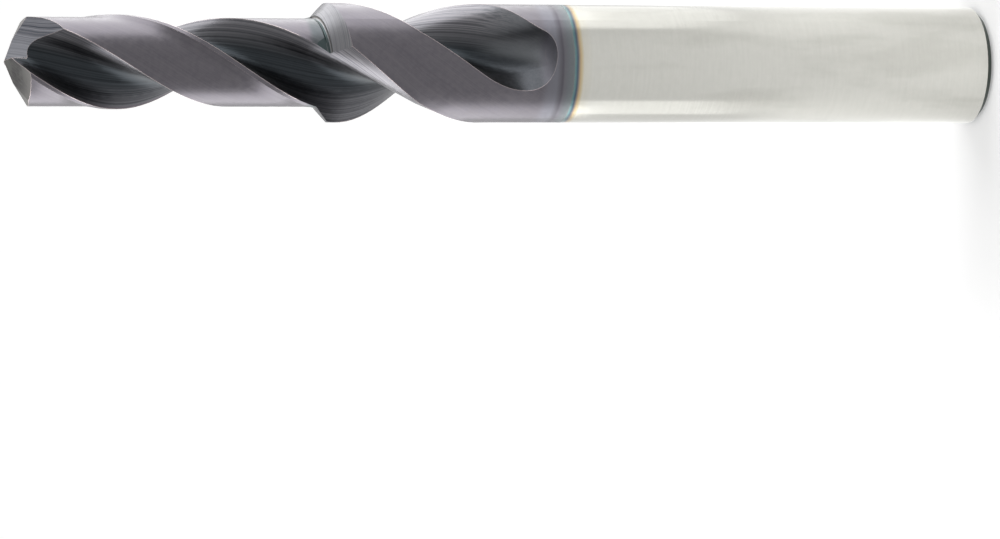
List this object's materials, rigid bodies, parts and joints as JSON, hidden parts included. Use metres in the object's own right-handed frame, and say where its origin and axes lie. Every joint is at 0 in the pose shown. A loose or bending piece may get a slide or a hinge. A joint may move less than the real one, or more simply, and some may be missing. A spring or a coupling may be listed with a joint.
{
  "type": "step drill bit",
  "caption": "Solid-carbide step drill with a round shank, spiral flutes, a smaller pilot that steps up to the body by a relieved cone, and a thinned point.",
  "frame": {"origin": "centre of the shank's end face, on which the drill stands", "axes": "+Z along the drill's axis from the shank to the point; +X through the centre line of the first flute at the height of the point"},
  "size_m": [0.012, 0.012, 0.102],
  "materials": {
    "carbide": "ground cemented carbide, bright on the shank and dark violet-grey coated on the fluted part"
  },
  "bodies": {
    "root": {"step_drill_bit": "carbide"}
  },
  "joints": []
}
